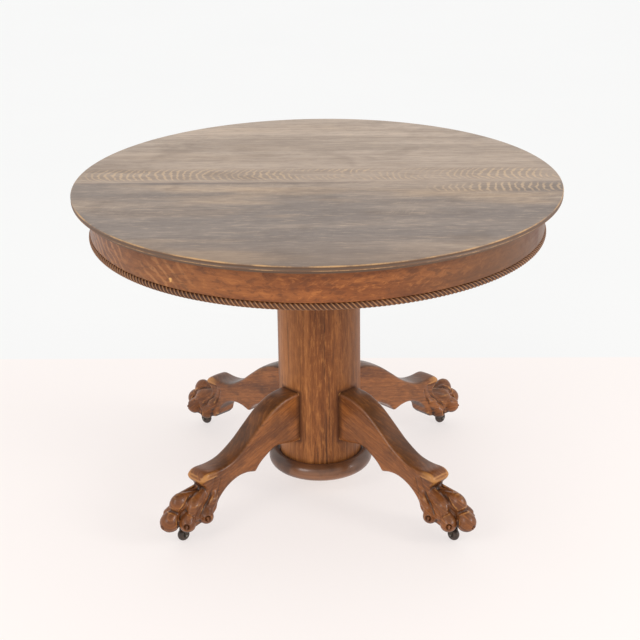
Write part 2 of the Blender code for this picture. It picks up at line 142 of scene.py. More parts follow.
def wrapUv(piece, radius):
    # runs the grain round a turned piece: u along the curve, v up
    mesh = piece.data
    layer = mesh.uv_layers.new(name="wrap")
    for face in mesh.polygons:
        middle = atan2(face.center.y, face.center.x)
        for loop in face.loop_indices:
            spot = mesh.vertices[mesh.loops[loop].vertex_index].co
            angle = atan2(spot.y, spot.x)
            if angle - middle > pi:
                angle -= tau
            if middle - angle > pi:
                angle += tau
            reach = sqrt(spot.x**2 + spot.y**2)
            layer.data[loop].uv = (angle * radius, spot.z + reach * 0.5)


# shader groups shared by the finishes

def startGroup(name, amounts, results):
    # a group with a vector and the named amounts going in, and the results coming out
    group = bpy.data.node_groups.new(name, "ShaderNodeTree")
    group.interface.new_socket(name="Vector", in_out="INPUT", socket_type="NodeSocketVector")
    for label, value in amounts.items():
        made = group.interface.new_socket(name=label, in_out="INPUT", socket_type="NodeSocketFloat")
        made.default_value = value
    for label in results:
        group.interface.new_socket(name=label, in_out="OUTPUT", socket_type="NodeSocketFloat")
    w = Wiring(group)
    return group, w, w.add("NodeGroupInput"), w.add("NodeGroupOutput")


class Wiring:
    # short words for adding and joining shader nodes
    def __init__(self, tree):
        self.tree = tree

    def add(self, kind, **settings):
        node = self.tree.nodes.new(kind)
        for name, value in settings.items():
            setattr(node, name, value)
        return node

    def feed(self, socket, value):
        if isinstance(value, bpy.types.NodeSocket):
            self.tree.links.new(value, socket)
        else:
            socket.default_value = value

    def math(self, operation, first, second=0.0, clamp=False):
        node = self.add("ShaderNodeMath", operation=operation, use_clamp=clamp)
        self.feed(node.inputs[0], first)
        self.feed(node.inputs[1], second)
        return node.outputs[0]

    def times(self, first, second, clamp=False):
        return self.math("MULTIPLY", first, second, clamp)

    def plus(self, first, second, clamp=False):
        return self.math("ADD", first, second, clamp)

    def less(self, first, second):
        return self.math("SUBTRACT", first, second)

    def spread(self, value, low, high, toLow=0.0, toHigh=1.0, kind="LINEAR"):
        node = self.add("ShaderNodeMapRange", interpolation_type=kind)
        for socket, amount in zip(node.inputs, (value, low, high, toLow, toHigh)):
            self.feed(socket, amount)
        return node.outputs[0]

    def ease(self, value, low, high, toLow=0.0, toHigh=1.0):
        return self.spread(value, low, high, toLow, toHigh, "SMOOTHSTEP")

    def mapped(self, vector, scale=(1, 1, 1), turn=(0, 0, 0), shift=(0, 0, 0)):
        node = self.add("ShaderNodeMapping")
        self.feed(node.inputs["Vector"], vector)
        node.inputs["Location"].default_value = shift
        node.inputs["Rotation"].default_value = turn
        node.inputs["Scale"].default_value = scale
        return node.outputs[0]

    def cloud(self, vector, scale, detail=3.0, rough=0.55, bend=0.0):
        node = self.add("ShaderNodeTexNoise")
        self.feed(node.inputs["Vector"], vector)
        self.feed(node.inputs["Scale"], scale)
        node.inputs["Detail"].default_value = detail
        node.inputs["Roughness"].default_value = rough
        node.inputs["Distortion"].default_value = bend
        return node.outputs[0]

    def veins(self, vector, scale, detail=3.0, rough=0.55, bend=0.0, turn=(0, 0, 0), shift=(0, 0, 0)):
        # a cloud stretched along its axes
        return self.cloud(self.mapped(vector, scale, turn, shift), 1.0, detail, rough, bend)

    def bump(self, height, strength, distance):
        node = self.add("ShaderNodeBump")
        node.inputs["Strength"].default_value = strength
        node.inputs["Distance"].default_value = distance
        self.feed(node.inputs["Height"], height)
        return node.outputs[0]

    def place(self):
        return self.add("ShaderNodeTexCoord").outputs["Object"]

    def painted(self, name):
        return self.add("ShaderNodeAttribute", attribute_name=name).outputs["Fac"]

    def wrap(self):
        return self.add("ShaderNodeUVMap", uv_map="wrap").outputs[0]

    def parts(self, vector):
        split = self.add("ShaderNodeSeparateXYZ")
        self.feed(split.inputs[0], vector)
        return split.outputs

    def reachAndHeight(self):
        # distance from the middle of the table, and height
        x, y, height = self.parts(self.place())
        return self.math("SQRT", self.plus(self.times(x, x), self.times(y, y))), height

    def mix(self, amount, first, second, mode="MIX"):
        node = self.add("ShaderNodeMix", data_type="RGBA", blend_type=mode)
        self.feed(node.inputs[0], amount)
        self.feed(node.inputs[6], first)
        self.feed(node.inputs[7], second)
        return node.outputs[2]


def colour(red, green, blue):
    # screen values 0 to 255 to the shader's own scale
    parts = (part / 255 for part in (red, green, blue))
    return (*(part / 12.92 if part <= 0.04045 else ((part + 0.055) / 1.055) ** 2.4 for part in parts), 1.0)


def makeOakGrain():
    # quarter-sawn oak with the grain along the vector's X and the growth rings across Y
    amounts = {"Flake Amount": 0.5, "Flake Slant": 0.5}
    group, w, entry, leave = startGroup("oakGrain", amounts, ("Tone", "Streak", "Pore", "Flake", "Height"))
    place = entry.outputs["Vector"]
    # slow drift that keeps the lines from running dead straight
    drift = w.veins(place, (1.6, 7, 7), 2.0)
    wander = w.add("ShaderNodeCombineXYZ")
    w.feed(wander.inputs["Y"], w.times(w.less(drift, 0.5), 0.03))
    bent = w.add("ShaderNodeVectorMath", operation="ADD")
    w.feed(bent.inputs[0], place)
    w.feed(bent.inputs[1], wander.outputs[0])
    bent = bent.outputs[0]
    tone = w.veins(bent, (1.1, 15, 15), 3.0, 0.6)
    streak = w.veins(bent, (6, 170, 170), 4.0, 0.62)
    pore = w.veins(bent, (45, 1100, 1100), 2.0, 0.5)
    poreMask = w.ease(pore, 0.60, 0.72)
    ringBand = w.spread(w.veins(bent, (2.5, 120, 120), 1.0), 0.42, 0.6)
    poreMask = w.times(poreMask, ringBand, clamp=True)
    # medullary rays: wavy ribbons that cross the grain at a slant, in patches
    slanted = w.add("ShaderNodeVectorRotate", rotation_type="Z_AXIS")
    w.feed(slanted.inputs["Vector"], place)
    w.feed(slanted.inputs["Angle"], entry.outputs["Flake Slant"])
    ribbons = w.veins(slanted.outputs[0], (190, 34, 34), 2.5, 0.55, 0.9)
    ribbonMask = w.ease(ribbons, 0.56, 0.64)
    patches = w.ease(w.veins(place, (3.5, 9, 9), 2.0, shift=(0.3, 0.7, 0.1)), 0.40, 0.62)
    flake = w.times(w.times(ribbonMask, patches), entry.outputs["Flake Amount"], clamp=True)
    height = w.less(w.times(streak, 0.35), w.times(poreMask, 0.6))
    height = w.plus(height, w.times(flake, 0.18))
    for socket, value in zip(leave.inputs, (tone, streak, poreMask, flake, height)):
        w.feed(socket, value)
    return group


def makeHandWear():
    # rubbed patches: an edge mask broken up by two sizes of cloud
    group, w, entry, leave = startGroup("handWear", {"Edge": 0.0, "Amount": 0.5}, ("Mask",))
    broad = w.cloud(entry.outputs["Vector"], 14.0, 3.0)
    fine = w.cloud(entry.outputs["Vector"], 160.0, 3.0, 0.7)
    broken = w.plus(w.times(broad, 0.7), w.times(fine, 0.3))
    bar = w.less(1.0, w.times(entry.outputs["Edge"], entry.outputs["Amount"]))
    mask = w.ease(broken, w.less(bar, 0.20), w.plus(bar, 0.08))
    w.feed(leave.inputs["Mask"], w.times(mask, entry.outputs["Edge"], clamp=True))
    return group


def makeGrimeAndShade():
    # old dark wax and dust in soft blotches, and painted shade where the hollow mask says
    group, w, entry, leave = startGroup("grimeAndShade", {"Hollow": 0.0, "Scale": 9.0, "Spots": 0.5}, ("Mask",))
    blot = w.cloud(entry.outputs["Vector"], entry.outputs["Scale"], 4.0, 0.6, 0.4)
    spots = w.times(w.ease(blot, 0.50, 0.72), entry.outputs["Spots"])
    w.feed(leave.inputs["Mask"], w.math("MAXIMUM", spots, entry.outputs["Hollow"], clamp=True))
    return group


oakGrain = makeOakGrain()
handWear = makeHandWear()
grimeAndShade = makeGrimeAndShade()
print("shader groups ready")


def startMaterial(name):
    material = bpy.data.materials.new(name)
    material.use_nodes = True
    w = Wiring(material.node_tree)
    return material, w, material.node_tree.nodes["Principled BSDF"]


def placed(w, group, **values):
    node = w.add("ShaderNodeGroup", node_tree=group)
    for name, value in values.items():
        w.feed(node.inputs[name.replace("_", " ")], value)
    return node.outputs


def maskFrom(w, source):
    # a painted attribute by name, or a mask worked out from the place
    if source is None:
        return 0.0
    return source(w) if callable(source) else w.painted(source)


def inBand(w, value, low, high, soft):
    # 1 between low and high, fading over soft on both sides
    rise = w.ease(value, low - soft, low + soft)
    fall = w.ease(value, high - soft, high + soft, 1.0, 0.0)
    return w.times(rise, fall)


def arcs(w, along, across, gap, wobble, bow):
    # a row of bowed light lines: along is the way they repeat, across bends them
    bend = w.times(w.times(across, across), bow)
    phase = w.plus(w.times(along, tau / gap), w.plus(bend, wobble))
    return w.ease(w.math("SINE", phase), 0.1, 0.9)


def oakFinish(
    name, look, source="object", turn=(0, 0, 0), shift=(0, 0, 0), edge=None, hollow=None, extra=None
):
    # varnished oak: grain colours, flakes, pores, dirt blotches and painted shade in the hollows, rubbed
    # edges
    material, w, shader = startMaterial(name)
    spot = w.mapped(w.wrap() if source == "wrap" else w.place(), turn=turn, shift=shift)
    solid = w.place()
    grain = placed(w, oakGrain, Vector=spot, Flake_Amount=look["flake"], Flake_Slant=look["slant"])
    base = w.mix(w.ease(grain["Tone"], 0.36, 0.64), look["dark"], look["light"])
    base = w.mix(w.spread(grain["Streak"], 0.40, 0.66), base, w.mix(1.0, base, look["streak"], "MULTIPLY"))
    base = w.mix(grain["Flake"], base, look["flakeColour"])
    base = w.mix(w.times(grain["Pore"], look["pores"]), base, look["poreColour"])
    if extra:
        base = extra(w, base, solid)
    # dirt blotches, with painted shade from the hollow mask
    dirtAndShade = placed(
        w, grimeAndShade, Vector=solid, Hollow=maskFrom(w, hollow), Scale=look["blotchScale"], Spots=look["blotch"]
    )["Mask"]
    base = w.mix(dirtAndShade, base, look["grimeAndShadeColour"])
    rough = w.spread(grain["Streak"], 0.3, 0.7, look["gloss"], look["gloss"] + 0.10)
    rough = w.plus(rough, w.times(dirtAndShade, 0.12), clamp=True)
    if edge is not None:
        wear = placed(w, handWear, Vector=solid, Edge=maskFrom(w, edge), Amount=look["wear"])["Mask"]
        base = w.mix(w.times(wear, look["wearMix"]), base, look["wearColour"])
        rough = w.plus(rough, w.times(wear, 0.08), clamp=True)
    w.feed(shader.inputs["Base Color"], base)
    w.feed(shader.inputs["Roughness"], rough)
    w.feed(shader.inputs["Normal"], w.bump(grain["Height"], look["bump"], 0.0004))
    shader.inputs["Specular IOR Level"].default_value = look.get("specular", 0.5)
    shader.inputs["Coat Weight"].default_value = look.get("coat", 0.0)
    shader.inputs["Coat Roughness"].default_value = look.get("coatRough", 0.25)
    return material


# the two half tops

topLook = dict(
    rimSteps=288,
    edge=[  # how far in from the rim and down from the surface
        (0.0040, 0), (0.0020, 0.0003), (0.0006, 0.0012), (0.0001, 0.0026), (0.0004, 0.0040),
        (0.0014, 0.0054), (0.0019, 0.0070), (0.0016, 0.0086), (0.0006, 0.0098), (0.0003, 0.0110),
        (0.0007, 0.0122), (0.0022, 0.0134), (0.0048, 0.0142), (0.0072, 0.0152), (0.0080, 0.0168),
    ],
    # the rear half's lighter tones are a painted reflection of the bright backdrop
    frontTone=dict(light=colour(164, 145, 128), dark=colour(128, 112, 100)),
    rearTone=dict(light=colour(186, 167, 150), dark=colour(156, 138, 122)),
    streak=(0.87, 0.86, 0.86, 1),
    flake=0.22,
    slant=0.35,
    flakeColour=colour(190, 170, 148),
    pores=0.5,
    poreColour=colour(92, 76, 64),
    blotch=0.30,
    blotchScale=6.0,
    grimeAndShadeColour=colour(92, 76, 64),
    gloss=0.42,
    wear=0.44,
    wearMix=0.85,
    wearColour=colour(190, 150, 102),
    rimColour=colour(100, 70, 48),
    rimBelow=(0.7738, 0.7720),
    arrisReach=(0.5668, 0.5706),
    beadHeights=(0.7626, 0.7650),
    coveHeights=(0.7662, 0.7692),
    boardWidth=0.128,
    warmColour=colour(184, 156, 126),
    hairColour=colour(104, 88, 76),
    dashLight=colour(196, 172, 146),
    shadeColour=colour(118, 96, 78),
    arcGap=0.0165,
    arcColour=colour(204, 172, 132),
    arcGapColour=colour(96, 80, 68),
    bump=0.30,
    specular=0.42,
)


def topProfile(radius, height, underside):
    # worn round arris, shallow hollow, thin bead, then the undercut to the underside
    flat = [(0, height), (0.20, height), (0.40, height), (0.52, height)]
    edge = [(radius - inset, height - drop) for inset, drop in topLook["edge"]]
    return flat + edge + [(edge[-1][0], underside), (0.54, underside), (0, underside)]


def rimEdge(w):
    # the upper arris and the bead below it
    reach, height = w.reachAndHeight()
    arris = w.times(w.ease(reach, *topLook["arrisReach"]), w.spread(height, 0.7700, 0.7722))
    bead = w.times(inBand(w, height, *topLook["beadHeights"], 0.0008), w.spread(reach, 0.568, 0.570))
    return w.plus(arris, w.times(bead, 0.9), clamp=True)


def rimHollow(w):
    # painted shade in the shallow cove between them, and in the undercut
    reach, height = w.reachAndHeight()
    side = w.spread(reach, 0.560, 0.568)
    cove = w.plus(inBand(w, height, *topLook["coveHeights"], 0.0008), w.spread(height, 0.7625, 0.7605))
    return w.times(w.times(side, cove), 0.75, clamp=True)


def topBoards(tint):
    # boards glued side by side, painted shade by the seam and towards the front edge, and the flake figure by
    # the seam
    def paint(w, base, solid):
        x, y = w.parts(solid)[:2]
        step = w.add("ShaderNodeVectorMath", operation="SNAP")
        w.feed(step.inputs[0], w.mapped(solid, (0, 1, 0)))
        step.inputs[1].default_value = (1, topLook["boardWidth"], 1)
        board = w.add("ShaderNodeTexWhiteNoise", noise_dimensions="3D")
        w.feed(board.inputs["Vector"], step.outputs[0])
        shade = w.spread(board.outputs["Value"], 0.0, 1.0, 0.955, 1.03)
        tone = w.add("ShaderNodeCombineColor")
        for socket in tone.inputs:
            w.feed(socket, shade)
        base = w.mix(1.0, base, tone.outputs[0], "MULTIPLY")
        wide = w.veins(solid, (1.2, 4.6, 1), 4.0, 0.6, 0.15, shift=tint["shift"])
        base = w.mix(w.ease(wide, 0.42, 0.58, 0.0, tint["amount"]), base, tint["colour"])
        warm = w.veins(solid, (1.8, 7, 1), 2.0, shift=(4, 1, 2))
        warm = w.times(w.ease(warm, 0.54, 0.70, 0.0, 0.5), tint["warm"])
        base = w.mix(warm, base, topLook["warmColour"])
        hair = w.veins(solid, (9, 260, 1), 3.0, 0.6)
        base = w.mix(w.spread(hair, 0.55, 0.68, 0.0, 0.30), base, topLook["hairColour"])
        dash = w.veins(solid, (26, 120, 1), 4.0, 0.7, turn=(0, 0, 0.05))
        base = w.mix(w.spread(dash, 0.50, 0.66, 0.0, 0.42), base, tint["dash"])
        base = w.mix(w.spread(dash, 0.46, 0.34, 0.0, 0.28), base, topLook["dashLight"])
        # painted shade: darker by the seam and towards the front edge
        seamShade = w.times(w.ease(y, 0.30, 0.02), w.spread(y, -0.002, 0.0))
        nearShade = w.ease(y, -0.36, -0.54)
        shade = w.plus(w.times(seamShade, 0.28), w.times(nearShade, 0.48))
        base = w.mix(shade, base, topLook["shadeColour"])
        band = inBand(w, y, tint["arcFrom"], tint["arcTo"], 0.014)
        middle = (tint["arcFrom"] + tint["arcTo"]) / 2
        wobble = w.times(w.veins(solid, (9, 14, 1), 4.0, 0.65), 20.0)
        lines = arcs(w, x, w.less(y, middle), topLook["arcGap"], wobble, -3200.0)
        patchy = w.ease(w.veins(solid, (5, 9, 1), 2.0, shift=(2, 0, 5)), 0.30, 0.55)
        where = w.times(band, w.ease(x, *tint["arcReach"]))
        figure = w.times(w.times(lines, patchy), where)
        base = w.mix(w.times(figure, 0.45), base, topLook["arcColour"])
        gapShade = w.times(w.times(w.less(1.0, lines), patchy), where)
        base = w.mix(w.times(gapShade, tint["arcDark"]), base, topLook["arcGapColour"])
        height = w.reachAndHeight()[1]
        return w.mix(w.times(w.spread(height, *topLook["rimBelow"]), 0.95), base, topLook["rimColour"])
    return paint


coolSmear = dict(
    amount=0.70, colour=colour(112, 102, 97), shift=(0.9, 0.3, 0), warm=1.0,
    dash=colour(98, 84, 74),
    arcFrom=-0.075, arcTo=-0.012, arcReach=(0.22, 0.34), arcDark=0.30,
)
warmSmear = dict(
    amount=0.18, colour=colour(160, 143, 129), shift=(0.2, 0.6, 0), warm=0.35,
    dash=colour(126, 108, 94),
    arcFrom=0.018, arcTo=0.105, arcReach=(-0.62, -0.50), arcDark=0.16,
)


def buildTops():
    low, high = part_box("top_front")
    radius = high.x
    for name, side in halves.items():
        shape = turnProfile(topProfile(radius, high.z, low.z), topLook["rimSteps"], closed=False)
        piece = newMesh("halfTop_" + name, keepHalf(shape, side))
        # the rear half takes the lighter tones: painted reflection
        look = dict(topLook, **topLook[name + "Tone"])
        smear = coolSmear if name == "front" else warmSmear
        material = oakFinish(
            "topOak_" + name, look, shift=(0.35 * side, 0.2, 0.1), edge=rimEdge, hollow=rimHollow,
            extra=topBoards(smear)
        )
        standIn(piece, "top_" + name, name + "_half", material)


buildTops()
print("tops done")


# apron under the tops

apronLook = dict(
    steps=288,
    thick=0.020,
    ease=0.0015,
    upper=0.757,
    light=colour(172, 104, 54),
    dark=colour(130, 73, 36),
    streak=(0.80, 0.74, 0.68, 1),
    flake=0.38,
    slant=0.95,
    flakeColour=colour(190, 120, 66),
    pores=0.5,
    poreColour=colour(70, 38, 20),
    blotch=0.62,
    blotchScale=13.0,
    grimeAndShadeColour=colour(92, 52, 30),
    gloss=0.34,
    flame=colour(214, 146, 88),
    flameGap=0.034,
    flames=(-1.56, -1.12),  # from and to, by wrap length
    faintFlames=(0.2, 1.5),
    mottleDark=colour(96, 54, 30),
    mottleLight=colour(202, 128, 66),
    endShade=colour(92, 66, 46),
    chip=(-1.155, 0.6985),  # a small knock in the front left, by wrap length and height
    chipColour=colour(226, 172, 100),
    bump=0.25,
    specular=0.32,
)


def apronShadeUnderTop(w):
    # painted shade under the top, darker towards the apron's upper edge
    height = w.parts(w.place())[2]
    return w.ease(height, 0.735, apronLook["upper"], 0.0, 0.55)


def apronFigure(w, base, solid):
    # bowed flames at the left, mottling, painted shade towards both ends, most at the right, and a small chip
    x, y, height = w.parts(solid)
    length = w.parts(w.wrap())[0]
    drop = w.less(apronLook["upper"], height)
    slid = w.less(length, w.times(drop, 0.55))
    wobble = w.times(w.veins(solid, (16, 16, 22), 3.0), 11.0)
    lines = arcs(w, slid, drop, apronLook["flameGap"], wobble, -1300.0)
    patchy = w.ease(w.veins(solid, (9, 9, 14), 2.0, shift=(3, 1, 0)), 0.34, 0.58)
    faint = w.times(inBand(w, length, *apronLook["faintFlames"], 0.1), 0.35)
    zone = w.math("MAXIMUM", inBand(w, length, *apronLook["flames"], 0.06), faint)
    figure = w.times(w.times(lines, patchy), zone)
    base = w.mix(w.times(figure, 0.62), base, apronLook["flame"])
    mottle = w.veins(solid, (42, 42, 100), 4.0, 0.66, 0.6)
    base = w.mix(w.ease(mottle, 0.50, 0.64, 0.0, 0.58), base, apronLook["mottleDark"])
    base = w.mix(w.ease(mottle, 0.46, 0.34, 0.0, 0.35), base, apronLook["mottleLight"])
    # painted shade: darker and greyer towards both ends of the front half
    endShade = w.plus(w.ease(x, 0.05, 0.46, 0.0, 0.80), w.ease(x, 0.02, -0.40, 0.0, 0.50))
    base = w.mix(w.times(endShade, w.spread(y, 0.1, -0.1), clamp=True), base, apronLook["endShade"])
    away = [w.math("ABSOLUTE", w.less(spot, aim)) for spot, aim in zip((length, height), apronLook["chip"])]
    ragged = w.plus(w.plus(*away), w.times(w.less(mottle, 0.5), 0.02))
    return w.mix(w.spread(ragged, 0.0075, 0.0035, 0.0, 0.85), base, apronLook["chipColour"])


def buildAprons():
    low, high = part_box("apron_front")
    outer = high.x
    inner, ease = outer - apronLook["thick"], apronLook["ease"]
    profile = [
        (inner, low.z), (outer - ease, low.z), (outer, low.z + ease), (outer, low.z + 0.02),
        (outer, low.z + 0.04), (outer, high.z - ease), (outer - ease, high.z), (inner, high.z),
        (inner, low.z + 0.04),
    ]
    material = oakFinish("apronOak", apronLook, source="wrap", hollow=apronShadeUnderTop, extra=apronFigure)
    for name, side in halves.items():
        piece = newMesh("apronBand_" + name, keepHalf(turnProfile(profile, apronLook["steps"]), side))
        wrapUv(piece, outer)
        standIn(piece, "apron_" + name, name + "_half", material)


buildAprons()
print("aprons done")


# rope moulding: a bead cut as twisted strands

ropeLook = dict(
    ridges=314,  # round the whole table
    stepsPerRidge=8,
    around=20,
    strands=4,
    depth=0.15,  # share of the bead's radius
    light=colour(122, 78, 46),
    dark=colour(82, 48, 28),
    streak=(0.75, 0.7, 0.66, 1),
    flake=0.0,
    slant=0.0,
    flakeColour=colour(150, 100, 60),
    pores=0.4,
    poreColour=colour(40, 24, 15),
    blotch=0.35,
    blotchScale=8.0,
    grimeAndShadeColour=colour(50, 31, 22),
    gloss=0.40,
    wear=0.70,
    wearMix=0.66,
    wearColour=colour(186, 136, 92),
    bump=0.2,
    specular=0.3,
)


def buildRopes():
    low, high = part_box("rope_moulding_front")
    bead = (high.z - low.z) / 2
    ring = high.x - bead
    middle = (high.z + low.z) / 2
    steps = ropeLook["ridges"] * ropeLook["stepsPerRidge"] // 2
    around = ropeLook["around"]
    material = oakFinish("ropeOak", ropeLook, source="wrap", edge="ridge", hollow="hollow")
    for name, side in halves.items():
        spots, swells = [], []
        for step in range(steps + 1):
            turn = side * pi * step / steps
            for part in range(around):
                lean = tau * part / around
                phase = (turn * ropeLook["ridges"] + lean * ropeLook["strands"]) / 2
                swell = abs(cos(phase)) ** 0.8  # 1 on a strand's crest, 0 in the groove
                size = bead * (1 - ropeLook["depth"] * 1.6 * (1 - swell))
                reach = ring + size * cos(lean)
                flat = side * 0.00015 if step in (0, steps) else reach * sin(turn)
                spots.append((reach * cos(turn), flat, middle + size * sin(lean)))
                swells.append(swell)
        faces = [tuple(range(around)), tuple(range(steps * around, (steps + 1) * around))]
        for step in range(steps):
            for part in range(around):
                here, beside = step * around + part, step * around + (part + 1) % around
                faces.append((here, beside, beside + around, here + around))
        piece = ropePiece("ropeMoulding_" + name, spots, faces, swells)
        wrapUv(piece, ring)
        standIn(piece, "rope_moulding_" + name, name + "_half", material)


def ropePiece(name, spots, faces, swells):
    rough = bpy.data.meshes.new("rough")
    rough.from_pydata(spots, [], faces)
    shape = bmesh.new()
    shape.from_mesh(rough)
    bpy.data.meshes.remove(rough)
    bmesh.ops.recalc_face_normals(shape, faces=shape.faces)
    mesh = bpy.data.meshes.new(name)
    shape.to_mesh(mesh)
    shape.free()
    mesh.shade_smooth()
    # rubbed wear on the strands' crests, painted shade in the grooves between them
    ridges = [max(0.0, (swell - 0.72) / 0.28) for swell in swells]
    paintOn(mesh, ridge=ridges, hollow=[max(0.0, (0.45 - swell) / 0.45) * 0.85 for swell in swells])
    return newObject(name, mesh)


buildRopes()
print("rope mouldings done")


# column and base ring

columnLook = dict(
    steps=192,
    wall=0.024,
    legHeights=(0.140, 0.279),
    ease=0.0015,
    light=colour(178, 114, 62),
    dark=colour(134, 79, 40),
    streak=(0.70, 0.64, 0.58, 1),
    flake=0.10,
    slant=0.2,
    flakeColour=colour(186, 126, 78),
    pores=0.85,
    poreColour=colour(60, 32, 18),
    blotch=0.30,
    blotchScale=7.0,
    grimeAndShadeColour=colour(84, 48, 28),
    gloss=0.38,
    bump=0.45,
    specular=0.24,
    bandDark=colour(74, 42, 24),
    bandLight=colour(188, 122, 68),
    hairColour=colour(66, 38, 22),
    fleckDark=colour(84, 48, 28),
    fleckLight=colour(196, 130, 70),
    litSide=colour(190, 128, 78),
    shaded=colour(88, 52, 30),
)
ringLook = dict(
    columnLook,
    light=colour(156, 106, 72),
    dark=colour(100, 64, 42),
    blotch=0.6,
    blotchScale=16.0,
    flakeColour=colour(170, 124, 90),
    pores=0.4,
    gloss=0.28,
    grimeAndShadeColour=colour(64, 40, 28),
    sideColour=colour(70, 46, 33),
    inner=0.1003,
    bump=0.2,
    specular=0.4,
    coat=0.3,
    coatRough=0.15,
)


def buildColumn():
    low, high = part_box("column")
    outer = high.x
    inner, ease = outer - columnLook["wall"], columnLook["ease"]
    profile = [
        (inner, low.z), (outer - ease, low.z), (outer, low.z + ease), (outer, 0.25), (outer, 0.45),
        (outer, high.z - ease), (outer - ease, high.z), (inner, high.z), (inner, 0.45), (inner, 0.25),
    ]
    piece = newMesh("columnShell", turnProfile(profile, columnLook["steps"]))
    wrapUv(piece, outer)
    material = oakFinish(
        "columnOak", columnLook, turn=(0, pi / 2, 0), shift=(0.2, 0.1, 0.3), hollow=legJointShade,
        extra=columnStripes
    )
    standIn(piece, "column", "pedestal", material)


def legJointShade(w):
    # painted shade in the corners where the legs meet the column, and at its foot
    x, y, z = w.parts(w.place())
    apart = w.math("ABSOLUTE", w.less(w.math("ABSOLUTE", x), w.math("ABSOLUTE", y)))
    beside = w.ease(apart, 0.056, 0.043, 0.0, 0.85)
    beside = w.times(beside, inBand(w, z, *columnLook["legHeights"], 0.006))
    return w.math("MAXIMUM", beside, w.spread(z, 0.066, 0.056, 0.0, 0.8))


def columnStripes(w, base, solid):
    # upright bands, some nearly black, fine dark hairs, painted light on the left of the face and painted
    # shade on its right
    x, y = w.parts(solid)[:2]
    band = w.veins(solid, (22, 22, 0.8), 3.0, 0.6, 0.3)
    hair = w.veins(solid, (230, 230, 5), 3.0, 0.6)
    broken = w.spread(w.veins(solid, (30, 30, 4), 2.0), 0.45, 0.60)
    middle = w.times(inBand(w, x, -0.035, 0.05, 0.02), w.spread(y, 0, -0.05))
    dark = w.times(w.ease(band, 0.52, 0.66), w.plus(0.22, w.times(middle, 0.3)))
    base = w.mix(dark, base, columnLook["bandDark"])
    base = w.mix(w.ease(band, 0.46, 0.30, 0.0, 0.32), base, columnLook["bandLight"])
    hairs = w.times(w.spread(hair, 0.53, 0.64), broken)
    base = w.mix(w.times(hairs, 0.8), base, columnLook["hairColour"])
    fleck = w.veins(solid, (150, 150, 26), 4.0, 0.7)
    base = w.mix(w.spread(fleck, 0.48, 0.34, 0.0, 0.45), base, columnLook["fleckLight"])
    base = w.mix(w.spread(fleck, 0.52, 0.66, 0.0, 0.45), base, columnLook["fleckDark"])
    # painted light at the left of the front face, painted shade at its right
    side = w.times(x, w.spread(y, 0.02, -0.04))
    base = w.mix(w.spread(side, -0.02, -0.10, 0.0, 0.35), base, columnLook["litSide"])
    return w.mix(w.spread(side, 0.015, 0.09, 0.0, 0.62), base, columnLook["shaded"])


def ringGrooveShade(w):
    # painted shade where the ring meets the column, and along the floor side
    reach, height = w.reachAndHeight()
    return w.math("MAXIMUM", w.spread(reach, 0.1120, 0.1060), w.spread(height, 0.050, 0.036, 0.0, 0.6))


def ringShade(w, base, solid):
    # darker towards both sides
    away = w.math("ABSOLUTE", w.parts(solid)[0])
    return w.mix(w.ease(away, 0.045, 0.115, 0.0, 0.62), base, ringLook["sideColour"])


def buildRing():
    low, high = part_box("base_ring")
    inner, outer = ringLook["inner"], high.x
    bow = (high.z - low.z) / 2
    middle = (high.z + low.z) / 2
    profile = [(inner, low.z), (outer - bow, low.z)]
    for step in range(1, 20):
        angle = -pi / 2 + pi * step / 20
        profile.append((outer - bow + bow * cos(angle), middle + bow * sin(angle)))
    profile += [(outer - bow, high.z), (outer - bow - 0.0012, high.z - 0.0026), (inner, high.z - 0.0035)]
    piece = newMesh("baseMoulding", turnProfile(profile, columnLook["steps"]))
    wrapUv(piece, outer)
    material = oakFinish("ringOak", ringLook, source="wrap", hollow=ringGrooveShade, extra=ringShade)
    standIn(piece, "base_ring", "pedestal", material)


buildColumn()
buildRing()
print("column done")


# legs: a sawn scroll with a carved knee and a lion's paw

legLook = dict(
    halfWidth=0.030,
    edge=0.0072,
    kneeFrom=0.345,
    voxel=0.0017,
    shadeRounds=16,  # how far the softened copy is smoothed
    ballRings=10,
    ballSegments=18,
    light=colour(154, 93, 44),
    dark=colour(110, 62, 27),
    streak=(0.76, 0.70, 0.64, 1),
    flake=0.10,
    slant=0.7,
    flakeColour=colour(172, 112, 66),
    pores=0.6,
    poreColour=colour(62, 34, 19),
    blotch=0.45,
    blotchScale=14.0,
    grimeAndShadeColour=colour(56, 33, 20),
    gloss=0.36,
    wear=0.62,
    wearMix=0.80,
    wearColour=colour(186, 130, 72),
    topSheen=colour(80, 51, 30),
    fleckDark=colour(84, 48, 26),
    fleckLight=colour(178, 112, 58),
    bump=0.3,
    specular=0.26,
    coat=0.26,
    coatRough=0.21,
)

# distance from the column's axis and height, from the column out to the knee
legBack = [
    (0.092, 0.2730), (0.120, 0.2720), (0.150, 0.2670), (0.190, 0.2490), (0.228, 0.2210), (0.268, 0.1900),
    (0.312, 0.1660), (0.350, 0.1590), (0.386, 0.1600), (0.402, 0.1520), (0.405, 0.1410), (0.394, 0.1280),
]
legAnkle = [(0.394, 0.128), (0.390, 0.118), (0.400, 0.106), (0.424, 0.100), (0.442, 0.088), (0.452, 0.060)]
legSole = [(0.452, 0.037), (0.440, 0.036), (0.376, 0.050)]
legArch = [(0.364, 0.062), (0.356, 0.083), (0.330, 0.106), (0.298, 0.119), (0.268, 0.120), (0.240, 0.113)]
legShoulder = [(0.240, 0.113), (0.224, 0.130), (0.204, 0.143), (0.172, 0.157), (0.120, 0.148), (0.092, 0.145)]

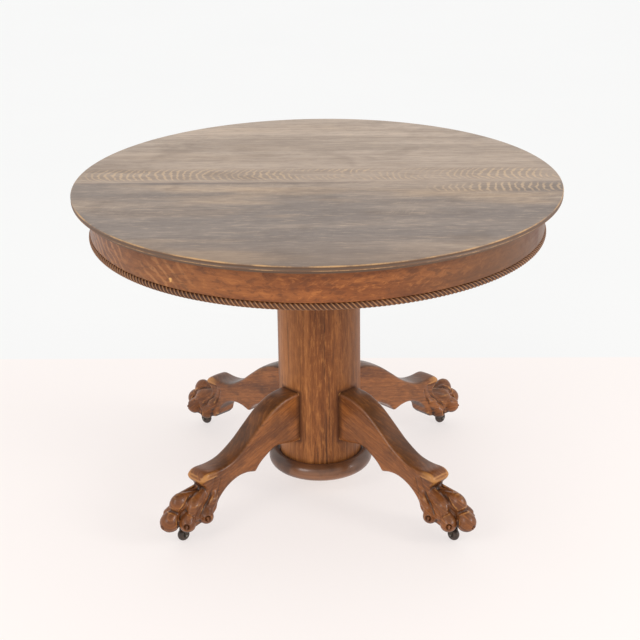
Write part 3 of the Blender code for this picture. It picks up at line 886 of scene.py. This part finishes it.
# each toe is a run of (distance, sideways, height, radius): knuckle, waist and round tip
middleToe = [
    (0.405, 0, 0.100, 0.014), (0.436, 0, 0.1035, 0.0180), (0.4555, 0, 0.1030, 0.0208),
    (0.4690, 0, 0.0835, 0.0145), (0.4845, 0, 0.0640, 0.0222), (0.4820, 0, 0.0600, 0.0222),
]
frontToe = [
    (0.390, 0.016, 0.112, 0.011), (0.416, 0.020, 0.101, 0.0148), (0.4300, 0.0225, 0.0940, 0.0162),
    (0.4430, 0.0265, 0.0780, 0.0132), (0.4555, 0.0300, 0.0600, 0.0190), (0.4545, 0.0300, 0.0570, 0.0190),
]
sideToe = [
    (0.366, 0.022, 0.108, 0.010), (0.3800, 0.0265, 0.0890, 0.0142), (0.3920, 0.0290, 0.0745, 0.0122),
    (0.4015, 0.0330, 0.0600, 0.0172), (0.4010, 0.0330, 0.0580, 0.0172),
]
claws = [  # where each claw's hood is, which way it looks, and its radius
    ((0.5045, 0.000, 0.0565), (0.92, 0.0, -0.38), 0.0060),
    ((0.469, 0.043, 0.059), (0.68, 0.72, -0.10), 0.0086),
    ((0.409, 0.0485, 0.060), (0.42, 0.90, -0.05), 0.0086),
]
grooves = [  # carved lines: points on or just off the surface, how deep and how wide
    ([(0.366, 0.030, 0.142), (0.373, 0.029, 0.120), (0.391, 0.030, 0.097), (0.412, 0.037, 0.078),
      (0.427, 0.043, 0.060), (0.431, 0.040, 0.042)], 0.0040, 0.0030),
    ([(0.398, 0.010, 0.120), (0.428, 0.013, 0.116), (0.455, 0.018, 0.100), (0.470, 0.019, 0.082),
      (0.476, 0.020, 0.062), (0.474, 0.019, 0.042)], 0.0038, 0.0028),
    ([(0.350, 0.030, 0.136), (0.358, 0.030, 0.112), (0.366, 0.031, 0.092)], 0.0026, 0.0024),
    ([(0.482, 0.000, 0.0920), (0.478, 0.010, 0.0900), (0.469, 0.017, 0.084)], 0.0040, 0.0030),
    ([(0.452, 0.022, 0.088), (0.451, 0.032, 0.084), (0.444, 0.040, 0.078)], 0.0024, 0.0030),
    ([(0.384, 0.014, 0.126), (0.400, 0.012, 0.114)], 0.0030, 0.0035),
]


def addBall(shape, spot, radius, stretch=(1, 1, 1)):
    # a plain globe, built straight from its rings
    rings, segments = legLook["ballRings"], legLook["ballSegments"]
    middle = Vector(spot)
    rows = []
    for ring in range(1, rings):
        tilt = pi * ring / rings
        row = []
        for part in range(segments):
            turn = tau * part / segments
            out = (sin(tilt) * cos(turn), sin(tilt) * sin(turn), cos(tilt))
            out = Vector(part * size for part, size in zip(out, stretch))
            row.append(shape.verts.new(middle + out * radius))
        rows.append(row)
    top = shape.verts.new(middle + Vector((0, 0, radius * stretch[2])))
    bottom = shape.verts.new(middle - Vector((0, 0, radius * stretch[2])))
    for part in range(segments):
        beside = (part + 1) % segments
        shape.faces.new((top, rows[0][part], rows[0][beside]))
        shape.faces.new((bottom, rows[-1][beside], rows[-1][part]))
        for upper, lower in zip(rows, rows[1:]):
            shape.faces.new((upper[part], lower[part], lower[beside], upper[beside]))


def addFinger(shape, run, side):
    # overlapping balls along a smooth line
    line = easeCurve([(a, side * b, c) for a, b, c, r in run], 5)
    sizes = easeCurve([(r, 0, 0) for a, b, c, r in run], 5)
    for spot, size in zip(line, sizes):
        addBall(shape, spot, size.x)


def legBlank():
    # the sawn outline, as thick as the plank, with eased edges
    outline = easeCurve(legBack, 6)[:-1] + easeCurve(legAnkle, 4) + [Vector(p) for p in legSole]
    outline += easeCurve(legArch, 5)[:-1] + easeCurve(legShoulder, 5)
    half = legLook["halfWidth"]
    shape = bmesh.new()
    face = shape.faces.new([shape.verts.new((spot.x, -half, spot.y)) for spot in outline])
    grown = bmesh.ops.extrude_face_region(shape, geom=[face])["geom"]
    far = [part for part in grown if isinstance(part, bmesh.types.BMVert)]
    bmesh.ops.translate(shape, verts=far, vec=(0, 2 * half, 0))
    bmesh.ops.recalc_face_normals(shape, faces=shape.faces)
    rims = [edge for edge in shape.edges if abs(edge.verts[0].co.y - edge.verts[1].co.y) < 1e-6]
    bmesh.ops.bevel(
        shape, geom=rims, offset=legLook["edge"], affect="EDGES", segments=4, profile=0.5, material=-1
    )
    return shape


def meltTogether(shape, voxel):
    # one skin over overlapping solids
    mesh = bpy.data.meshes.new("melt")
    shape.to_mesh(mesh)
    shape.free()
    rough = newObject("melt", mesh)
    remesh = rough.modifiers.new("skin", "REMESH")
    remesh.mode = "VOXEL"
    remesh.voxel_size = voxel
    graph = bpy.context.evaluated_depsgraph_get()
    skin = bpy.data.meshes.new_from_object(rough.evaluated_get(graph))
    bpy.data.objects.remove(rough)
    merged = bmesh.new()
    merged.from_mesh(skin)
    return merged


def pressIn(shape, line, depth, width, side):
    # sinks a soft groove along a line
    spots = easeCurve([(a, side * b, c) for a, b, c in line], 10)
    for vert in shape.verts:
        if vert.co.x < 0.33:
            continue
        if abs(vert.co.y - side * line[0][1]) > 0.03 or side * vert.co.y < -0.004:
            continue
        gap = min((vert.co - spot).length_squared for spot in spots)
        if gap < (3.2 * width) ** 2:
            vert.co -= vert.normal * depth * exp(-gap / width**2)


def slimAnkle(shape):
    # leaves the knee's lip standing proud of the side faces, and crowns the top of the leg
    for vert in shape.verts:
        out, across, up = vert.co
        if out > legLook["kneeFrom"]:
            ramp = min(1.0, (out - legLook["kneeFrom"]) / 0.03)
            below = clampUnit((0.147 - up) / 0.008) * clampUnit((up - 0.098) / 0.02)
            vert.co.y = across * (1 - 0.17 * ramp * below)
        if vert.normal.z > 0.5 and up > 0.13 and out < 0.41:
            vert.co.z += 0.0022 * (1 - (across / legLook["halfWidth"]) ** 2)


def carveClaws(shape, side):
    # a raised hood round a round socket
    for spot, look, size in claws:
        if side < 0 and spot[1] == 0:
            continue
        flip = Vector((1, side, 1))
        centre = Vector(spot) * flip
        facing = (Vector(look) * flip).normalized()
        for vert in shape.verts:
            if vert.co.x < 0.36 or abs(vert.co.x - centre.x) > size * 2:
                continue
            gap = (vert.co - centre).length
            if gap < size * 1.7:
                cup = exp(-((gap / (size * 0.72)) ** 4))
                brow = exp(-(((gap - size * 1.08) / (size * 0.26)) ** 2))
                vert.co += facing * (0.0009 * brow - 0.0060 * cup)


def shadeFromForm(shape, firstClaw):
    # compares the carving with a softened copy: hollows lie below it and get painted shade, rubbed ridges
    # above
    soft = shape.copy()
    soften(soft, 0.5, legLook["shadeRounds"])
    soft.verts.ensure_lookup_table()
    hollows, ridges = [], []
    for vert in shape.verts:
        out, across, up = vert.co
        lift = (soft.verts[vert.index].co - vert.co).dot(vert.normal)
        hollow = min(0.8, (lift - 0.00020) / 0.0012)
        ridge = (-lift - 0.00012) / 0.0007
        if out > 0.415 and vert.normal.z > 0.1:
            ridge += 0.22 * vert.normal.z  # the tops of the toes are lighter: rubbed wear and a painted highlight
        if vert.index >= firstClaw:
            hollow, ridge = 0.25, 0.15
        elif out > 0.40 and up < 0.080:
            # painted shade in the claw sockets, and no rubbing there
            for spot, look, size in claws:
                gap = (Vector((out, abs(across), up)) - Vector(spot)).length
                hollow = max(hollow, min(0.55, (size * 1.05 - gap) / (size * 0.25)))
                ridge = min(ridge, (gap / size - 1.2) * 2)
        if legLook["kneeFrom"] < out < 0.41 and 0.118 < up < 0.170:  # the knee's lip is rubbed
            ramp = min(1.0, (out - legLook["kneeFrom"]) / 0.045)
            ridge += 0.52 * ramp * max(0.0, 1 - ((up - 0.144) / 0.024) ** 2)
        if out < 0.112:  # painted shade where the leg meets the column
            hollow += (0.112 - out) / 0.010 * 0.8
        # painted shade on the faces that look down
        if vert.normal.z < -0.30 and up < 0.12:
            hollow += min(0.9, (-0.30 - vert.normal.z) * 3)
        if 0.384 < out < 0.43 and 0.100 < up < 0.126 and abs(across) < 0.022:
            hollow += 0.5  # the shade under the lip
        # painted shade low down by the floor
        if up < 0.045 or out < 0.40 and up < 0.062:
            hollow += 0.75
        hollows.append(clampUnit(hollow))
        ridges.append(clampUnit(ridge))
    soft.free()
    return hollows, ridges


def carvedLeg():
    shape = legBlank()
    addBall(shape, (0.420, 0, 0.072), 0.034, (1.35, 1.12, 0.98))
    addFinger(shape, middleToe, 1)
    for side in (-1, 1):
        addFinger(shape, frontToe, side)
        addFinger(shape, sideToe, side)
    shape = meltTogether(shape, legLook["voxel"])
    slimAnkle(shape)
    soften(shape, 0.5, 3)
    shape.normal_update()
    for line, depth, width in grooves:
        for side in (-1, 1):
            pressIn(shape, line, depth, width, side)
    for side in (-1, 1):
        carveClaws(shape, side)
    sole = [vert for vert in shape.verts if vert.co.x > 0.36 and vert.co.z < soleHeight(vert.co.x)]
    for vert in sole:
        vert.co.z = soleHeight(vert.co.x)
    soften(shape, 0.4)
    shape.normal_update()
    firstClaw = len(shape.verts)
    for spot, look, size in claws:
        for side in (-1, 1) if spot[1] else (1,):
            flip = Vector((1, side, 1))
            addClaw(shape, Vector(spot) * flip, Vector(look) * flip, size)
    shape.normal_update()
    shape.verts.index_update()
    shape.verts.ensure_lookup_table()
    return shape, firstClaw


def soleHeight(out):
    return 0.034 + max(0.0, 0.446 - out) * 0.21


def addClaw(shape, spot, look, size):
    # a short blunt horn that sits in its hood and bends down
    facing = look.normalized()
    base = spot - facing * 0.0050
    for step in range(5):
        t = step / 4
        centre = base + facing * (0.0052 * t) - Vector((0, 0, 0.0030 * t * t))
        addBall(shape, centre, size * (0.46 - 0.16 * t))


def legUv(mesh):
    layer = mesh.uv_layers.new(name="wrap")
    spots = [vert.co.copy() for vert in mesh.vertices]
    for loop in mesh.loops:
        spot = spots[loop.vertex_index]
        layer.data[loop.index].uv = (spot.x - 0.35 * spot.z, spot.z + 0.35 * spot.x + 0.7 * spot.y)


def legTopShade(w, base, solid):
    # painted dark sheen on the faces that look up
    up = w.painted("upward")
    patch = w.cloud(solid, 18.0, 3.0, 0.6)
    amount = w.times(up, w.spread(patch, 0.3, 0.6, 0.45, 0.88), clamp=True)
    along = w.wrap()
    fleck = w.veins(along, (32, 210, 1), 4.0, 0.65)
    base = w.mix(w.spread(fleck, 0.50, 0.66, 0.0, 0.50), base, legLook["fleckDark"])
    base = w.mix(w.spread(fleck, 0.46, 0.34, 0.0, 0.40), base, legLook["fleckLight"])
    amount = w.times(amount, w.spread(fleck, 0.30, 0.52, 0.55, 1.0))
    return w.mix(amount, base, legLook["topSheen"])


def buildLegs():
    shape, firstClaw = carvedLeg()
    hollows, ridges = shadeFromForm(shape, firstClaw)
    master = bpy.data.meshes.new("leg")
    shape.to_mesh(master)
    shape.free()
    master.shade_smooth()
    legUv(master)
    ups = [
        clampUnit((vert.normal.z - 0.45) / 0.35) * max(0.12, 1 - max(0.0, vert.co.x - 0.325) / 0.06)
        for vert in master.vertices
    ]
    paintOn(master, hollow=hollows, ridge=ridges, upward=ups)
    material = oakFinish("legOak", legLook, source="wrap", edge="ridge", hollow="hollow", extra=legTopShade)
    for corner, degrees in corners.items():
        mesh = master.copy()
        mesh.transform(Matrix.Rotation(radians(degrees), 4, "Z"))
        standIn(newObject("carvedLeg_" + corner, mesh), "leg_" + corner, "pedestal", material)


buildLegs()
print("legs done")


# casters

casterLook = dict(
    steps=48,
    halfWidth=0.0085,
    crown=0.0042,
    bore=0.0028,
    grimeAndShade=colour(40, 32, 26),
    # light tone, dark tone, roughness and how metallic
    wheel=(colour(74, 56, 44), colour(38, 29, 24), 0.38, 0.0),
    iron=(colour(84, 72, 60), colour(46, 40, 35), 0.45, 0.7),
    steel=(colour(150, 146, 140), colour(104, 98, 92), 0.35, 1.0),
    brass=(colour(150, 118, 66), colour(92, 70, 40), 0.40, 1.0),
)


def metalFinish(name, light, dark, rough, metallic):
    material, w, shader = startMaterial(name)
    solid = w.place()
    cloudy = w.cloud(solid, 120.0, 4.0, 0.65)
    mask = placed(w, grimeAndShade, Vector=solid, Hollow=0.0, Scale=60.0, Spots=0.8)["Mask"]
    base = w.mix(w.spread(cloudy, 0.35, 0.65), dark, light)
    w.feed(shader.inputs["Base Color"], w.mix(mask, base, casterLook["grimeAndShade"]))
    w.feed(shader.inputs["Roughness"], w.spread(cloudy, 0.3, 0.7, rough, rough + 0.2))
    w.feed(shader.inputs["Metallic"], w.times(w.less(1.0, mask), metallic, clamp=True))
    w.feed(shader.inputs["Normal"], w.bump(cloudy, 0.3, 0.0002))
    return material


def buildCasters():
    wheelFinish = metalFinish("casterWheelDark", *casterLook["wheel"])
    half, crown, bore = casterLook["halfWidth"], casterLook["crown"], casterLook["bore"]
    for corner, degrees in corners.items():
        low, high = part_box("caster_wheel_" + corner)
        centre = (low + high) / 2
        radius = (high.z - low.z) / 2
        profile = [(bore, -half)]
        for step in range(13):
            t = -1 + step / 6
            chamfer = 0.0012 if abs(t) > 0.99 else 0
            profile.append((radius - crown * t * t - chamfer, half * t * 0.98))
        profile.append((bore, half))
        shape = turnProfile(profile, casterLook["steps"])
        turn = Matrix.Rotation(radians(degrees), 4, "Z") @ Matrix.Rotation(pi / 2, 4, "X")
        bmesh.ops.transform(shape, matrix=Matrix.Translation(centre) @ turn, verts=shape.verts)
        piece = newMesh("casterWheel_" + corner, shape)
        standIn(piece, "caster_wheel_" + corner, "wheel_" + corner, wheelFinish)
    paintNodes("caster_horn", metalFinish("casterIron", *casterLook["iron"]))
    paintNodes("caster_socket", metalFinish("oldBrass", *casterLook["brass"]))
    steel = metalFinish("screwSteel", *casterLook["steel"])
    paintNodes(("caster_axle", "leg_bolt", "bearer_screw", "rail_screw"), steel)


buildCasters()
print("casters done")


# plain wood under the top: slides, bearers, plates, blocks and pins keep their CAD shapes

plainLook = dict(
    light=colour(190, 156, 114),
    dark=colour(150, 116, 80),
    streak=(0.84, 0.80, 0.74, 1),
    flake=0.12,
    slant=0.5,
    flakeColour=colour(206, 176, 134),
    pores=0.4,
    poreColour=colour(96, 68, 44),
    blotch=0.5,
    blotchScale=8.0,
    grimeAndShadeColour=colour(112, 88, 66),
    gloss=0.58,
    bump=0.35,
)
slideLook = dict(plainLook, pores=0.15, gloss=0.42, blotch=0.35)
slideLook.update(light=colour(204, 170, 124), dark=colour(174, 138, 96))


def finishPlainWood():
    alongX = oakFinish("plainWoodAcross", plainLook)
    paintNodes(("bearer_front", "bearer_rear", "column_top_plate", "column_foot_plate", "glue_block"), alongX)
    paintNodes(("slide_", "leaf_pin"), oakFinish("slideWood", slideLook, turn=(0, 0, pi / 2)))


finishPlainWood()
print("plain wood done")


# room, light and camera

studio = dict(
    floorSize=9.0,
    floorTone=colour(150, 145, 141),
    floorPatch=colour(146, 141, 137),
    floorGlow=(0.752, 0.712, 0.704, 1),
    wallGlow=(0.690, 0.722, 0.740, 1),
    glowStrength=0.85,
    wallFrom=0.75,  # the floor's tone turns into the backdrop's here
    worldTone=(1.0, 0.985, 0.965, 1),
    worldStrength=0.98,
    lamps=dict(  # place, watts, size
        key=((-2.4, -3.0, 2.6), 48, 1.6),
        fill=((3.2, -1.5, 1.9), 46, 1.0),
    ),
    lampAim=(0, 0, 0.4),
    lens=89.90,
    eye=(0.0917, -3.5817, 1.8811),
    yaw=-0.0248,
    pitch=0.3857,
    roll=-0.0134,
)


def buildRoom():
    shape = bmesh.new()
    bmesh.ops.create_grid(shape, x_segments=1, y_segments=1, size=studio["floorSize"])
    floor = newMesh("floor", shape)
    material, w, shader = startMaterial("paleFloor")
    solid = w.place()
    patch = w.cloud(solid, 1.3, 3.0)
    w.feed(shader.inputs["Base Color"], w.mix(patch, studio["floorTone"], studio["floorPatch"]))
    edge, soft = studio["wallFrom"], 0.006
    back = w.ease(w.parts(solid)[1], edge - soft, edge + soft)
    w.feed(shader.inputs["Emission Color"], w.mix(back, studio["floorGlow"], studio["wallGlow"]))
    shader.inputs["Emission Strength"].default_value = studio["glowStrength"]
    shader.inputs["Roughness"].default_value = 0.7
    floor.data.materials.append(material)
    world = bpy.data.worlds.new("studio")
    bpy.context.scene.world = world
    world.use_nodes = True
    glow = world.node_tree.nodes["Background"]
    glow.inputs["Color"].default_value = studio["worldTone"]
    glow.inputs["Strength"].default_value = studio["worldStrength"]
    for name, (spot, power, size) in studio["lamps"].items():
        lamp = bpy.data.lights.new(name, "AREA")
        lamp.energy = power
        lamp.size = size
        holder = bpy.data.objects.new(name, lamp)
        holder.location = spot
        aim = Vector(studio["lampAim"]) - Vector(spot)
        holder.rotation_euler = aim.to_track_quat("-Z", "Y").to_euler()
        bpy.context.scene.collection.objects.link(holder)
    bpy.context.scene.view_settings.view_transform = "Standard"


def placeCamera():
    yaw, pitch, roll = studio["yaw"], studio["pitch"], studio["roll"]
    ahead = Vector((sin(yaw) * cos(pitch), cos(yaw) * cos(pitch), -sin(pitch)))
    right = ahead.cross(Vector((0, 0, 1))).normalized()
    up = right.cross(ahead)
    leanRight = cos(roll) * right + sin(roll) * up
    leanUp = cos(roll) * up - sin(roll) * right
    lens = bpy.data.cameras.new("view")
    lens.lens = studio["lens"]
    lens.sensor_width = 36
    camera = bpy.data.objects.new("view", lens)
    bpy.context.scene.collection.objects.link(camera)
    pose = Matrix((leanRight, leanUp, -ahead)).transposed().to_4x4()
    pose.translation = Vector(studio["eye"])
    camera.matrix_world = pose
    bpy.context.scene.camera = camera


buildRoom()
placeCamera()
print("room done")

bpy.context.view_layer.update()
